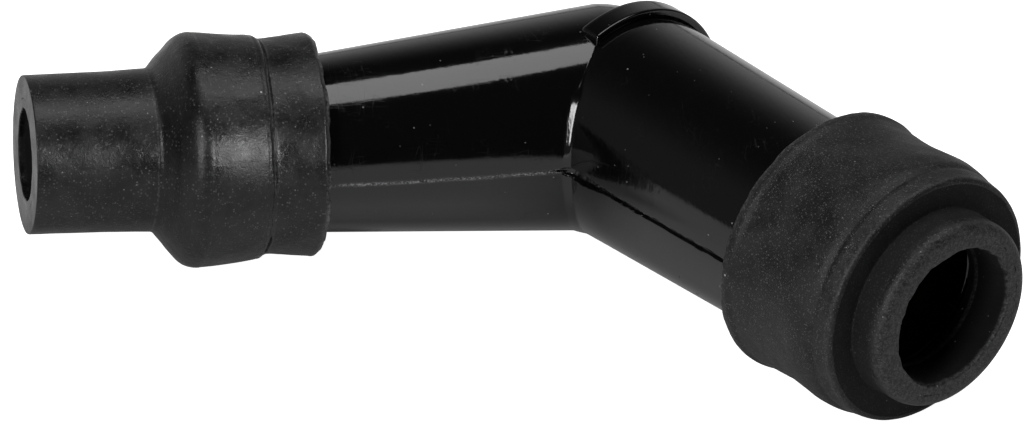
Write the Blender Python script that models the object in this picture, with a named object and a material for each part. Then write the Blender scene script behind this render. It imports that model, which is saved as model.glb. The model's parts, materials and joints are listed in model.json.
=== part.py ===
"""Spark plug cap with a 120 degree elbow, lying on its side.

A hard phenolic elbow carries a rubber seal on its cable end and a larger one on its plug end.
Inside, a wood-screw terminal bites into the ignition cable, a resistor and a spring stand
between it and the socket that snaps onto the plug's terminal nut.

Everything is drawn about the elbow's centre. The cable arm runs along -X, the plug arm turns away
from it, and both arms lie in one plane. The whole cap is then laid on its side at the end.
"""

import math

import bmesh
import bpy
from mathutils import Matrix, Vector

MM = 0.001

# Elbow
elbow_turn = math.radians(60.0)      # how far the plug arm turns away from the cable arm's line
gap = 0.3 * MM                       # clearance between pieces that touch
round_steps = 48                     # facets round the arms and the seals
bore_steps = 32                      # facets round the bores
small_steps = 24                     # facets round the small inner pieces

# Plug arm, measured along its axis from the elbow's centre
plug_arm_shift = 0.12 * MM           # the arm stands this far to the outer side of the bend
plug_arm_radius = 8.75 * MM
plug_arm_front_radius = 8.10 * MM
plug_arm_length = 30.6 * MM
plug_bead_radius = 8.60 * MM         # bead that keeps the plug seal on
plug_bead_start = 26.6 * MM
plug_bead_length = 2.2 * MM
plug_bead_slope = 0.5 * MM
plug_front_chamfer = 0.5 * MM
collar_radius = 9.45 * MM            # collar behind the elbow that fingers pull on
collar_side = 4.90 * MM              # it stops here on the inner side, under the cable arm
collar_front = 1.15 * MM             # behind the elbow's centre
collar_thickness = 1.85 * MM
collar_edge = 0.15 * MM
collar_ledge = 0.52 * MM             # flat ring on the collar's front, outside its groove
collar_groove_depth = 0.55 * MM

# Cable arm, measured along its own axis from the elbow's centre
cable_arm_radius = 6.69 * MM         # where it enters the cable seal
cable_arm_elbow_radius = 8.83 * MM
cable_arm_elbow_shift = 2.80 * MM    # the outer side flares more, so the centre moves outwards
cable_arm_flat_depth = 1.2 * MM      # the inner side is flatter near the elbow
cable_arm_flat_turn = -70.0          # degrees, towards the inner side of the bend
cable_arm_length = 34.4 * MM
elbow_ball_start = 3.3 * MM          # the arm ends in a ball behind the plug arm
elbow_ball_rings = 7
cable_arm_rings = 5                  # between the cable seal's rim and the ball
spigot_groove_radius = 6.10 * MM
spigot_groove_start = 28.0 * MM
spigot_groove_width = 1.6 * MM
spigot_barb_radius = 6.90 * MM
spigot_barb_chamfer = 0.9 * MM

# Bores in the elbow
cable_bore_radius = 3.70 * MM        # takes a 7 mm ignition cable
cable_bore_bottom = 20.0 * MM
resistor_bore_radius = 3.20 * MM
resistor_bore_bottom = 4.2 * MM
rivet_hole_radius = 1.30 * MM
insulator_bore_radius = 5.90 * MM    # takes the plug's insulator
insulator_bore_bottom = 20.0 * MM
socket_bore_radius = 5.10 * MM
socket_bore_bottom = 11.2 * MM
stem_bore_radius = 2.50 * MM
stem_bore_bottom = 0.9 * MM          # behind the elbow's centre
bore_chamfer = 0.5 * MM
cutter_reach = 1.0 * MM              # how far a cutter stands out of what it cuts

# Cable seal
nose_radius = 6.00 * MM
nose_base_radius = 6.16 * MM
nose_bore_radius = 3.40 * MM
cable_seal_end = 46.87 * MM
nose_base = 37.5 * MM
bulge_radius = 8.90 * MM
bulge_start = 35.1 * MM
bulge_rear_radius = 8.50 * MM
bulge_corner = 1.50 * MM
bulge_corner_turn = 45.0             # degrees, up to the flare
cable_step_place = 29.6 * MM
cable_step_width = 0.45 * MM
cable_step_slope = 0.14 * MM
cable_step_depth = 0.45 * MM
skirt_radius = 8.15 * MM
skirt_rim_radius = 8.50 * MM
cable_seal_rim = 25.0 * MM
skirt_rim_edge = 0.35 * MM

# Plug seal
plug_seal_rim = 20.5 * MM
plug_lip_radius = 10.40 * MM
plug_lip_round = 0.36 * MM
plug_lip_width = 0.9 * MM
plug_lip_back_radius = 10.26 * MM
plug_waist_radius = 10.02 * MM
plug_waist_place = 25.2 * MM
plug_swell_radius = 10.34 * MM
plug_swell_place = 28.6 * MM
plug_step_place = 30.1 * MM
plug_step_start_radius = 10.23 * MM
plug_step_radius = 9.78 * MM         # bottom of the step, below the front flange
plug_step_width = 0.35 * MM
plug_form_points = 4                 # points along each soft curve between two radii
plug_front_radius = 10.0 * MM
plug_front_end_radius = 9.82 * MM
plug_face = 32.0 * MM
plug_front_round = 0.45 * MM
neck_radius = 7.50 * MM
plug_seal_end = 34.9 * MM
neck_round = 0.7 * MM
mouth_radius = 5.41 * MM
inner_lip_radius = 5.26 * MM
inner_lip_width = 0.8 * MM

# Inner pieces
spring_wire_radius = 0.35 * MM
spring_coil_radius = 2.30 * MM
spring_turns = 3.5
spring_free_height = 3.3 * MM
spring_points_per_turn = 16
rivet_head_radius = 2.90 * MM
rivet_head_height = 0.9 * MM
rivet_shank_radius = 1.00 * MM
rivet_tip_radius = 0.35 * MM
rivet_point_length = 0.7 * MM
resistor_radius = 2.10 * MM
resistor_length = 8.7 * MM
resistor_cap_radius = 2.90 * MM
resistor_cap_length = 2.0 * MM
resistor_cap_wall = 0.5 * MM
screw_base_height = 1.0 * MM
screw_boss_radius = 1.50 * MM
screw_root_radius = 0.95 * MM
screw_crest_radius = 1.60 * MM
screw_pitch = 1.3 * MM
screw_spike_length = 8.0 * MM
screw_point_length = 2.6 * MM
screw_thread_width = 0.9 * MM        # of each turn, at the root
screw_rows_per_turn = 8
screw_columns = 16
stem_radius = 2.20 * MM
socket_radius = 4.50 * MM
socket_front = 19.7 * MM
socket_cup_bottom = 13.5 * MM
nut_bore_radius = 3.30 * MM          # takes the plug's 6.3 mm terminal nut
nut_bore_chamfer = 0.25 * MM
clip_place = 16.6 * MM
clip_wire_radius = 0.35 * MM
clip_groove_radius = 3.80 * MM
clip_leg_spread = 2.95 * MM          # from the axis to each leg of the hairpin
clip_leg_end = 3.3 * MM
clip_arc_points = 13
clip_slot_inner = 2.2 * MM

# Weights per cubic metre, for finding how the cap comes to rest
rubber_density = 1250.0
phenolic_density = 1400.0
brass_density = 8500.0
steel_density = 7850.0
ceramic_density = 2700.0

materials = {
    "phenolic_black": ((0.006, 0.006, 0.007), 0.14, 0.0),
    "rubber_black": ((0.030, 0.030, 0.031), 0.72, 0.0),
    "brass": ((0.52, 0.37, 0.14), 0.35, 1.0),
    "steel": ((0.45, 0.45, 0.46), 0.35, 1.0),
    "ceramic": ((0.62, 0.56, 0.46), 0.60, 0.0),
}


def clear_scene():
    for thing in list(bpy.data.objects):
        bpy.data.objects.remove(thing, do_unlink=True)


def make_material(name):
    colour, roughness, metallic = materials[name]
    made = bpy.data.materials.new(name)
    made.use_nodes = True
    shader = made.node_tree.nodes["Principled BSDF"]
    shader.inputs["Base Color"].default_value = (*colour, 1.0)
    shader.inputs["Roughness"].default_value = roughness
    shader.inputs["Metallic"].default_value = metallic
    made.diffuse_color = (*colour, 1.0)
    return made


def add_empty(name, parent=None):
    empty = bpy.data.objects.new(name, None)
    bpy.context.collection.objects.link(empty)
    empty.parent = parent
    return empty


def aim_axis(empty, direction):
    """Turn an empty so that its Z runs along an arm and its X stands out of the bend plane."""
    up = Vector((0.0, 0.0, 1.0))
    side = direction.cross(up)
    turn = Matrix((up, side, direction)).transposed()
    empty.rotation_euler = turn.to_euler()


def add_object(name, data, parent, material, density):
    piece = bpy.data.objects.new(name, data)
    bpy.context.collection.objects.link(piece)
    piece.parent = parent
    if material is not None:
        data.materials.append(make_material(material))
    piece["density"] = density
    return piece


def finish_mesh(form, name):
    bmesh.ops.remove_doubles(form, verts=form.verts, dist=1e-6)
    bmesh.ops.recalc_face_normals(form, faces=form.faces)
    mesh = bpy.data.meshes.new(name)
    form.to_mesh(mesh)
    form.free()
    mesh.shade_smooth()
    mesh.set_sharp_from_angle(angle=math.radians(30.0))
    return mesh


def turned_mesh(name, profile, steps, closed):
    """Spin a profile of (place along the axis, radius) pairs once round the Z axis."""
    form = bmesh.new()
    points = [form.verts.new((radius, 0.0, place)) for place, radius in profile]
    pairs = list(zip(points, points[1:]))
    if closed:
        pairs.append((points[-1], points[0]))
    edges = [form.edges.new(pair) for pair in pairs]
    bmesh.ops.spin(
        form,
        geom=points + edges,
        axis=(0.0, 0.0, 1.0),
        cent=(0.0, 0.0, 0.0),
        angle=2.0 * math.pi,
        steps=steps,
        use_merge=False,
        use_duplicate=False,
    )
    return finish_mesh(form, name)


def turned(name, profile, parent, material=None, density=0.0, steps=round_steps, closed=False):
    return add_object(name, turned_mesh(name, profile, steps, closed), parent, material, density)


def ringed_mesh(name, rings):
    """Join rings of points into one skin. A ring with one point is the pole that closes an end."""
    form = bmesh.new()
    rows = [[form.verts.new(point) for point in ring] for ring in rings]
    for lower, upper in zip(rows, rows[1:]):
        count = max(len(lower), len(upper))
        for index in range(count):
            following = (index + 1) % count
            if len(lower) == 1:
                form.faces.new((lower[0], upper[following], upper[index]))
            elif len(upper) == 1:
                form.faces.new((lower[index], lower[following], upper[0]))
            else:
                form.faces.new((lower[index], lower[following], upper[following], upper[index]))
    return finish_mesh(form, name)


def arc(centre_place, centre_radius, size, start, end, count):
    """Points of a round edge, from the start to the end angle, with 0 pointing away from the axis."""
    points = []
    for index in range(count + 1):
        angle = math.radians(start + (end - start) * index / count)
        points.append(
            (centre_place + size * math.sin(angle), centre_radius + size * math.cos(angle))
        )
    return points


def eased(start, end, count):
    """Points of a soft S-shaped curve from one (place, radius) pair to the next, without the first."""
    points = []
    for index in range(1, count + 1):
        share = index / count
        rise = 0.5 - 0.5 * math.cos(math.pi * share)
        points.append(
            (start[0] + (end[0] - start[0]) * share, start[1] + (end[1] - start[1]) * rise)
        )
    return points


def as_cutter(piece):
    piece.display_type = "WIRE"
    piece.hide_render = True
    return piece


def apply_boolean(target, other, operation):
    change = target.modifiers.new(other.name, "BOOLEAN")
    change.operation = operation
    change.solver = "EXACT"
    change.object = other


def box_form(name, size, middle, parent):
    form = bmesh.new()
    bmesh.ops.create_cube(form, size=1.0)
    bmesh.ops.scale(form, vec=size, verts=form.verts)
    bmesh.ops.translate(form, vec=middle, verts=form.verts)
    return as_cutter(add_object(name, finish_mesh(form, name), parent, None, 0.0))


# The elbow

def cable_arm_centre(place):
    """How far the cable arm's centre lies to the outer side of the bend."""
    share = 1.0 - place / cable_seal_rim
    return cable_arm_elbow_shift * max(share, 0.0)


def cable_arm_outline(place):
    slope = (cable_arm_radius - cable_arm_elbow_radius) / cable_seal_rim
    return cable_arm_elbow_radius + slope * place


def cable_arm_flat(place, angle):
    """How far the skin lies inside its round section, most at the elbow and on the inner side."""
    nearness = max(1.0 - place / cable_seal_rim, 0.0)
    facing = max(math.cos(angle - math.radians(cable_arm_flat_turn)), 0.0)
    return cable_arm_flat_depth * facing ** 4 * nearness ** 2


def cable_arm_form(cable_axis):
    """The tapered arm with its spigot, ending in a ball inside and behind the plug arm."""
    groove_end = spigot_groove_start + spigot_groove_width
    stations = [
        (cable_arm_length, spigot_barb_radius - spigot_barb_chamfer),
        (cable_arm_length - spigot_barb_chamfer, spigot_barb_radius),
        (groove_end, spigot_barb_radius),
        (groove_end, spigot_groove_radius),
        (spigot_groove_start, spigot_groove_radius),
        (spigot_groove_start, cable_arm_outline(spigot_groove_start)),
        (cable_seal_rim, cable_arm_radius),
        (elbow_ball_start, cable_arm_outline(elbow_ball_start)),
    ]
    for index in range(1, cable_arm_rings):
        place = cable_seal_rim + (elbow_ball_start - cable_seal_rim) * index / cable_arm_rings
        stations.insert(-1, (place, cable_arm_outline(place)))
    ball_radius = cable_arm_outline(elbow_ball_start)
    for index in range(1, elbow_ball_rings):
        angle = 0.5 * math.pi * index / elbow_ball_rings
        place = elbow_ball_start - ball_radius * math.sin(angle)
        stations.append((place, ball_radius * math.cos(angle)))
    rings = [[Vector((0.0, 0.0, cable_arm_length))]]
    for place, radius in stations:
        section = max(place, elbow_ball_start)
        shift = cable_arm_centre(section)
        share = radius / cable_arm_outline(section)
        ring = []
        for index in range(round_steps):
            angle = 2.0 * math.pi * index / round_steps
            reach = radius - share * cable_arm_flat(section, angle)
            ring.append(Vector((reach * math.cos(angle), shift + reach * math.sin(angle), place)))
        rings.append(ring)
    pole = elbow_ball_start - ball_radius
    rings.append([Vector((0.0, cable_arm_centre(elbow_ball_start), pole))])
    mesh = ringed_mesh("body", rings)
    return add_object("body", mesh, cable_axis, "phenolic_black", phenolic_density)


def plug_arm_outline(place):
    slope = (plug_arm_front_radius - plug_arm_radius) / plug_arm_length
    return plug_arm_radius + slope * place


def plug_bead_points(clearance):
    """The bead under the plug seal, grown by a clearance to give the seal's own pocket."""
    start = plug_bead_start - clearance
    end = plug_bead_start + plug_bead_length + clearance
    top = plug_bead_radius + clearance
    return [
        (start - plug_bead_slope, plug_arm_outline(plug_bead_start) + clearance),
        (start, top),
        (end, top),
        (end + plug_bead_slope, plug_arm_front_radius + clearance),
    ]


def collar_form(plug_axis):
    """The dished collar, cut off on the inner side where the cable arm comes out."""
    back = -(collar_front + collar_thickness)
    front = -collar_front
    dish_radius = collar_radius - collar_ledge
    dish_floor = front - collar_groove_depth
    profile = [
        (back, 0.0),
        (back, collar_radius - collar_edge),
        (back + collar_edge, collar_radius),
        (front - collar_edge, collar_radius),
        (front, collar_radius - collar_edge),
        (front, dish_radius),
        (dish_floor, dish_radius),
        (dish_floor, 0.0),
    ]
    collar = as_cutter(turned("collar_form", profile, plug_axis))
    beyond = collar_radius + cutter_reach
    depth = beyond - collar_side
    size = Vector((2.0 * beyond, depth, collar_thickness + 2.0 * cutter_reach))
    middle = Vector((0.0, collar_side + 0.5 * depth, 0.5 * (back + front)))
    apply_boolean(collar, box_form("collar_side_form", size, middle, plug_axis), "DIFFERENCE")
    return collar


def plug_arm_form(plug_axis):
    """The plug arm with its bead. It starts inside the collar."""
    start = -(collar_front + 0.5 * (collar_groove_depth + collar_thickness))
    profile = [
        (start, 0.0),
        (start, plug_arm_outline(0.0)),
        (0.0, plug_arm_outline(0.0)),
        (plug_seal_rim, plug_arm_outline(plug_seal_rim)),
    ]
    profile += plug_bead_points(0.0)
    profile += [
        (plug_arm_length - plug_front_chamfer, plug_arm_front_radius),
        (plug_arm_length, plug_arm_front_radius - plug_front_chamfer),
        (plug_arm_length, 0.0),
    ]
    return as_cutter(turned("plug_arm_form", profile, plug_axis))


def cable_bore_form(cable_axis):
    beyond = cable_arm_length + cutter_reach
    profile = [
        (0.0, 0.0),
        (0.0, rivet_hole_radius),
        (resistor_bore_bottom, rivet_hole_radius),
        (resistor_bore_bottom, resistor_bore_radius),
        (cable_bore_bottom, resistor_bore_radius),
        (cable_bore_bottom, cable_bore_radius),
        (cable_arm_length - bore_chamfer, cable_bore_radius),
        (beyond, cable_bore_radius + bore_chamfer + cutter_reach),
        (beyond, 0.0),
    ]
    return as_cutter(turned("cable_bore_form", profile, cable_axis, steps=bore_steps))


def plug_bore_form(plug_axis):
    beyond = plug_arm_length + cutter_reach
    profile = [
        (-stem_bore_bottom, 0.0),
        (-stem_bore_bottom, stem_bore_radius),
        (socket_bore_bottom, stem_bore_radius),
        (socket_bore_bottom, socket_bore_radius),
        (insulator_bore_bottom, socket_bore_radius),
        (insulator_bore_bottom, insulator_bore_radius),
        (plug_arm_length - bore_chamfer, insulator_bore_radius),
        (beyond, insulator_bore_radius + bore_chamfer + cutter_reach),
        (beyond, 0.0),
    ]
    return as_cutter(turned("plug_bore_form", profile, plug_axis, steps=bore_steps))


def make_body(cable_axis, plug_axis):
    body = cable_arm_form(cable_axis)
    apply_boolean(body, collar_form(plug_axis), "UNION")
    apply_boolean(body, plug_arm_form(plug_axis), "UNION")
    apply_boolean(body, cable_bore_form(cable_axis), "DIFFERENCE")
    apply_boolean(body, plug_bore_form(plug_axis), "DIFFERENCE")


# The rubber seals

def make_cable_seal(cable_axis):
    """Nose, flare, bulge, step and skirt outside. Inside, the spigot's own outline."""
    pocket_end = cable_arm_length + gap
    barb_start = spigot_groove_start + spigot_groove_width - gap
    step_end = cable_step_place - cable_step_width
    outside = [
        (cable_seal_end, nose_bore_radius),
        (cable_seal_end, nose_radius),
        (nose_base, nose_base_radius),
    ]
    outside += arc(bulge_start - bulge_corner, bulge_radius - bulge_corner, bulge_corner,
                   bulge_corner_turn, 0.0, 3)
    outside += [
        (cable_step_place, bulge_rear_radius),
        (cable_step_place - cable_step_slope, bulge_rear_radius - cable_step_depth),
        (step_end, skirt_radius),
        (cable_seal_rim + skirt_rim_edge, skirt_rim_radius),
        (cable_seal_rim, skirt_rim_radius - skirt_rim_edge),
    ]
    inside = [
        (cable_seal_rim, cable_arm_radius + gap),
        (spigot_groove_start + gap, cable_arm_radius + gap),
        (spigot_groove_start + gap, spigot_groove_radius + gap),
        (barb_start, spigot_groove_radius + gap),
        (barb_start, spigot_barb_radius + gap),
        (pocket_end, spigot_barb_radius + gap),
        (pocket_end, nose_bore_radius),
    ]
    turned("cable_seal", outside + inside, cable_axis, "rubber_black", rubber_density, closed=True)


def make_plug_seal(plug_axis):
    """Flared lip, waist, swollen front, flange face and neck. Inside, the plug arm's outline."""
    lip_back = (plug_seal_rim + plug_lip_width, plug_lip_back_radius)
    waist = (plug_waist_place, plug_waist_radius)
    swell = (plug_swell_place, plug_swell_radius)
    pocket_end = plug_arm_length + gap
    outside = [(plug_seal_rim, plug_arm_outline(plug_seal_rim) + gap)]
    outside += arc(plug_seal_rim + plug_lip_round, plug_lip_radius - plug_lip_round, plug_lip_round,
                   -90.0, 0.0, 3)
    outside.append(lip_back)
    outside += eased(lip_back, waist, plug_form_points)
    outside += eased(waist, swell, plug_form_points)
    outside += [
        (plug_step_place, plug_step_start_radius),
        (plug_step_place + 0.5 * plug_step_width, plug_step_radius),
        (plug_step_place + plug_step_width, plug_front_radius),
    ]
    front = arc(plug_face - plug_front_round, plug_front_end_radius - plug_front_round,
                plug_front_round, 0.0, 90.0, 4)
    neck = [(plug_face, neck_radius)]
    neck += arc(plug_seal_end - neck_round, neck_radius - neck_round, neck_round, 0.0, 90.0, 4)
    inside = [
        (plug_seal_end, mouth_radius),
        (pocket_end + inner_lip_width, mouth_radius),
        (pocket_end + 0.5 * inner_lip_width, inner_lip_radius),
        (pocket_end, inner_lip_radius),
        (pocket_end, plug_arm_front_radius + gap),
    ]
    inside += reversed(plug_bead_points(gap))
    turned("plug_seal", outside + front + neck + inside, plug_axis, "rubber_black",
           rubber_density, closed=True)


# The metal path inside, from the plug to the cable

def make_terminal_socket(plug_axis):
    back = -stem_bore_bottom + gap
    cup_back = socket_bore_bottom + gap
    groove_half = clip_wire_radius + gap
    profile = [
        (back, 0.0),
        (back, stem_radius),
        (cup_back, stem_radius),
        (cup_back, socket_radius),
        (clip_place - groove_half, socket_radius),
        (clip_place - groove_half, clip_groove_radius),
        (clip_place + groove_half, clip_groove_radius),
        (clip_place + groove_half, socket_radius),
        (socket_front, socket_radius),
        (socket_front, nut_bore_radius + nut_bore_chamfer),
        (socket_front - nut_bore_chamfer, nut_bore_radius),
        (socket_cup_bottom, nut_bore_radius),
        (socket_cup_bottom, 0.0),
    ]
    socket = turned("terminal_socket", profile, plug_axis, "brass", brass_density,
                    steps=small_steps)
    width = socket_radius - clip_slot_inner + cutter_reach
    size = Vector((width, 2.0 * socket_radius, 2.0 * groove_half))
    for name, side in (("clip_slot_form_left", -1.0), ("clip_slot_form_right", 1.0)):
        middle = Vector((side * (clip_slot_inner + 0.5 * width), 0.0, clip_place))
        apply_boolean(socket, box_form(name, size, middle, plug_axis), "DIFFERENCE")


def wire_piece(name, points, radius, parent, material, density):
    """A round wire along a list of points, with flat closed ends."""
    curve = bpy.data.curves.new(name, "CURVE")
    curve.dimensions = "3D"
    curve.bevel_depth = radius
    curve.bevel_resolution = 2
    curve.use_fill_caps = True
    line = curve.splines.new("POLY")
    line.points.add(len(points) - 1)
    for slot, point in zip(line.points, points):
        slot.co = (*point, 1.0)
    return add_object(name, curve, parent, material, density)


def make_retaining_clip(plug_axis):
    """A hairpin: two straight legs that grip the nut's waist, joined by an arc round the socket."""
    arc_start = math.acos(clip_leg_spread / (clip_groove_radius + gap + clip_wire_radius))
    arc_radius = clip_groove_radius + gap + clip_wire_radius
    points = [Vector((clip_leg_spread, -clip_leg_end, clip_place))]
    for index in range(clip_arc_points):
        angle = arc_start + (math.pi - 2.0 * arc_start) * index / (clip_arc_points - 1)
        points.append(
            Vector((arc_radius * math.cos(angle), arc_radius * math.sin(angle), clip_place))
        )
    points.append(Vector((-clip_leg_spread, -clip_leg_end, clip_place)))
    wire_piece("retaining_clip", points, clip_wire_radius, plug_axis, "steel", steel_density)


def make_contact_rivet(cable_axis):
    """Headed rivet at the bottom of the resistor bore, with its nose on the socket's stem."""
    head = resistor_bore_bottom + gap
    lean = math.pi - elbow_turn
    stem_side = stem_radius + gap - plug_arm_shift
    nose = stem_side / math.sin(lean) + rivet_tip_radius / math.tan(elbow_turn)
    profile = [
        (nose, 0.0),
        (nose, rivet_tip_radius),
        (nose + rivet_point_length, rivet_shank_radius),
        (head, rivet_shank_radius),
        (head, rivet_head_radius),
        (head + rivet_head_height, rivet_head_radius),
        (head + rivet_head_height, 0.0),
    ]
    turned("contact_rivet", profile, cable_axis, "brass", brass_density, steps=small_steps)


def spring_start():
    return resistor_bore_bottom + gap + rivet_head_height + gap


def make_contact_spring(cable_axis):
    count = int(spring_turns * spring_points_per_turn)
    low = spring_start() + spring_wire_radius
    rise = spring_free_height - 2.0 * spring_wire_radius
    points = []
    for index in range(count + 1):
        share = index / count
        angle = 2.0 * math.pi * spring_turns * share
        points.append(
            Vector(
                (
                    spring_coil_radius * math.cos(angle),
                    spring_coil_radius * math.sin(angle),
                    low + rise * share,
                )
            )
        )
    wire_piece("contact_spring", points, spring_wire_radius, cable_axis, "steel", steel_density)


def resistor_start():
    return spring_start() + spring_free_height + gap


def resistor_end():
    return resistor_start() + resistor_length + 2.0 * (resistor_cap_wall + gap)


def make_resistor(cable_axis):
    """A ceramic rod with a pressed steel cup over each end."""
    rod_start = resistor_start() + resistor_cap_wall + gap
    rod = [
        (rod_start, 0.0),
        (rod_start, resistor_radius),
        (rod_start + resistor_length, resistor_radius),
        (rod_start + resistor_length, 0.0),
    ]
    turned("resistor_rod", rod, cable_axis, "ceramic", ceramic_density, steps=small_steps)
    for name, closed_end, direction in (
        ("resistor_cap_front", resistor_start(), 1.0),
        ("resistor_cap_rear", resistor_end(), -1.0),
    ):
        mouth = closed_end + direction * resistor_cap_length
        floor = closed_end + direction * resistor_cap_wall
        cup = [
            (closed_end, 0.0),
            (closed_end, resistor_cap_radius),
            (mouth, resistor_cap_radius),
            (mouth, resistor_cap_radius - resistor_cap_wall),
            (floor, resistor_cap_radius - resistor_cap_wall),
            (floor, 0.0),
        ]
        turned(name, cup, cable_axis, "steel", steel_density, steps=small_steps)


def thread_height(turns):
    """Height of the thread, from 0 in the valley to 1 on the crest, for a place in turns."""
    share = turns - math.floor(turns)
    half_width = 0.5 * screw_thread_width / screw_pitch
    return max(0.0, 1.0 - abs(share - 0.5) / half_width)


def make_cable_screw(cable_axis):
    """Wood-screw terminal: a boss on the resistor, a round base, and a pointed threaded spike."""
    base = cable_bore_bottom + gap
    spike = base + screw_base_height
    tip = spike + screw_spike_length
    boss_end = resistor_end() + gap
    angles = [2.0 * math.pi * index / screw_columns for index in range(screw_columns)]

    def ring(place, radii):
        return [
            Vector((radius * math.cos(angle), radius * math.sin(angle), place))
            for radius, angle in zip(radii, angles)
        ]

    def plain(place, radius):
        return ring(place, [radius] * screw_columns)

    rings = [
        [Vector((0.0, 0.0, boss_end))],
        plain(boss_end, screw_boss_radius),
        plain(base, screw_boss_radius),
        plain(base, cable_bore_radius - gap),
        plain(spike, cable_bore_radius - gap),
    ]
    row_count = int(screw_rows_per_turn * screw_spike_length / screw_pitch)
    for row in range(row_count):
        place = spike + screw_spike_length * row / row_count
        narrowing = min(1.0, (tip - place) / screw_point_length)
        radii = []
        for angle in angles:
            turns = (place - spike) / screw_pitch - angle / (2.0 * math.pi)
            crest = screw_root_radius + (screw_crest_radius - screw_root_radius) * thread_height(turns)
            radii.append(crest * narrowing)
        rings.append(ring(place, radii))
    rings.append([Vector((0.0, 0.0, tip))])
    mesh = ringed_mesh("cable_screw", rings)
    add_object("cable_screw", mesh, cable_axis, "steel", steel_density)


# Laying the cap on its side

def solid_pieces():
    return [thing for thing in bpy.data.objects if thing.type != "EMPTY" and not thing.hide_render]


def measured_points():
    """World points of every piece, and the point where the whole cap balances."""
    bpy.context.view_layer.update()
    shown = bpy.context.evaluated_depsgraph_get()
    points = []
    weight = 0.0
    moment = Vector((0.0, 0.0, 0.0))
    for piece in solid_pieces():
        evaluated = piece.evaluated_get(shown)
        mesh = evaluated.to_mesh()
        mesh.calc_loop_triangles()
        corners = [piece.matrix_world @ vertex.co for vertex in mesh.vertices]
        points += corners
        for triangle in mesh.loop_triangles:
            first, second, third = (corners[index] for index in triangle.vertices)
            part = piece["density"] * first.dot(second.cross(third)) / 6.0
            weight += part
            moment += part * (first + second + third) / 4.0
        evaluated.to_mesh_clear()
    return points, moment / weight


def resting_normal(points, balance):
    """Outward normal of the hull's lower face that lies under the balance point."""
    hull = bmesh.new()
    for point in points:
        hull.verts.new(point)
    bmesh.ops.convex_hull(hull, input=hull.verts)
    best = Vector((0.0, 0.0, -1.0))
    closest = None
    for face in hull.faces:
        normal = face.normal
        if normal.z > -0.9:
            continue
        reach = (face.verts[0].co - balance).dot(normal)
        foot = balance + normal * reach
        corners = [vertex.co for vertex in face.verts]
        inside = min(
            (following - corner).cross(foot - corner).dot(normal) / (following - corner).length
            for corner, following in zip(corners, corners[1:] + corners[:1])
        )
        if closest is None or inside > closest:
            closest = inside
            best = normal.copy()
    hull.free()
    return best


def lay_down(base):
    points, balance = measured_points()
    normal = resting_normal(points, balance)
    turn = normal.rotation_difference(Vector((0.0, 0.0, -1.0)))
    base.rotation_mode = "QUATERNION"
    base.rotation_quaternion = turn
    turned_points = [turn @ point for point in points]
    low = Vector([min(point[axis] for point in turned_points) for axis in range(3)])
    high = Vector([max(point[axis] for point in turned_points) for axis in range(3)])
    base.location = Vector((-0.5 * (low.x + high.x), -0.5 * (low.y + high.y), -low.z))
    bpy.context.view_layer.update()


def main():
    clear_scene()
    base = add_empty("elbow_centre")
    cable_axis = add_empty("cable_axis", base)
    plug_axis = add_empty("plug_axis", base)
    aim_axis(cable_axis, Vector((-1.0, 0.0, 0.0)))
    plug_direction = Vector((math.cos(elbow_turn), -math.sin(elbow_turn), 0.0))
    aim_axis(plug_axis, plug_direction)
    plug_axis.location = plug_arm_shift * Vector((-plug_direction.y, plug_direction.x, 0.0))
    make_body(cable_axis, plug_axis)
    make_cable_seal(cable_axis)
    make_plug_seal(plug_axis)
    make_terminal_socket(plug_axis)
    make_retaining_clip(plug_axis)
    make_contact_rivet(cable_axis)
    make_contact_spring(cable_axis)
    make_resistor(cable_axis)
    make_cable_screw(cable_axis)
    lay_down(base)


main()
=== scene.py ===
import json
import math

import bpy
import numpy as np
from mathutils import Matrix, Vector


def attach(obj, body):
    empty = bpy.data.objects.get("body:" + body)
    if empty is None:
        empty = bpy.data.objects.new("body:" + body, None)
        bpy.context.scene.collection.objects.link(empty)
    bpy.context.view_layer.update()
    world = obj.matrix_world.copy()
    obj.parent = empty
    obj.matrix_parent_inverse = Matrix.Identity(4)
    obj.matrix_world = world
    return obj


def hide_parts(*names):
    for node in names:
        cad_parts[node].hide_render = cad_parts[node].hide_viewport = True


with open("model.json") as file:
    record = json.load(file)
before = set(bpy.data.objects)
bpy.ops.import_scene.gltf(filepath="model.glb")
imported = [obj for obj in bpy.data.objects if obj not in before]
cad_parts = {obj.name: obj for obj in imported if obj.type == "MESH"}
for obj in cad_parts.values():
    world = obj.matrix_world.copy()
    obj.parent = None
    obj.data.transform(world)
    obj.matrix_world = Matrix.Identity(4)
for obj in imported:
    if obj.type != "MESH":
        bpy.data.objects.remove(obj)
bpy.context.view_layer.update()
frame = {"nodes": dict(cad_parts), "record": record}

# Spark plug cap on a white table. The rubber seals and the moulded elbow are rebuilt as fine
# numpy surfaces over the CAD nodes; the metal path inside keeps its CAD shape and gets materials.

mm = 0.001
turn = 2.0 * math.pi


def unit(vector):
    return vector / np.linalg.norm(vector)


# Both arms, read from the mounts on their end faces. In mm: each face's place along its arm, and
# how far the mount stands above the arm's axis.

endFaces = {
    "cable": {"mount": "cable_end_face", "place": 46.87, "above": 4.7},
    "plug": {"mount": "plug_end_face", "place": 34.9, "above": 6.105},
}
mounts = {mount["name"]: mount for mount in frame["record"]["mounts"]}
cableAxis = unit(np.array(mounts["cable_end_face"]["axis"]))
plugAxis = unit(np.array(mounts["plug_end_face"]["axis"]))
upAxis = unit(np.cross(cableAxis, plugAxis))


def readArm(face, axis):
    # origin = mount - up*above - axis*place, which is the elbow's centre on the arm's axis
    back = (upAxis * face["above"] + axis * face["place"]) * mm
    origin = np.array(mounts[face["mount"]]["pos_m"]) - back
    return {"origin": origin, "axis": axis, "side": np.cross(axis, upAxis)}


cableArm = readArm(endFaces["cable"], cableAxis)
plugArm = readArm(endFaces["plug"], plugAxis)
elbow = cableArm["origin"]


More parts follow.
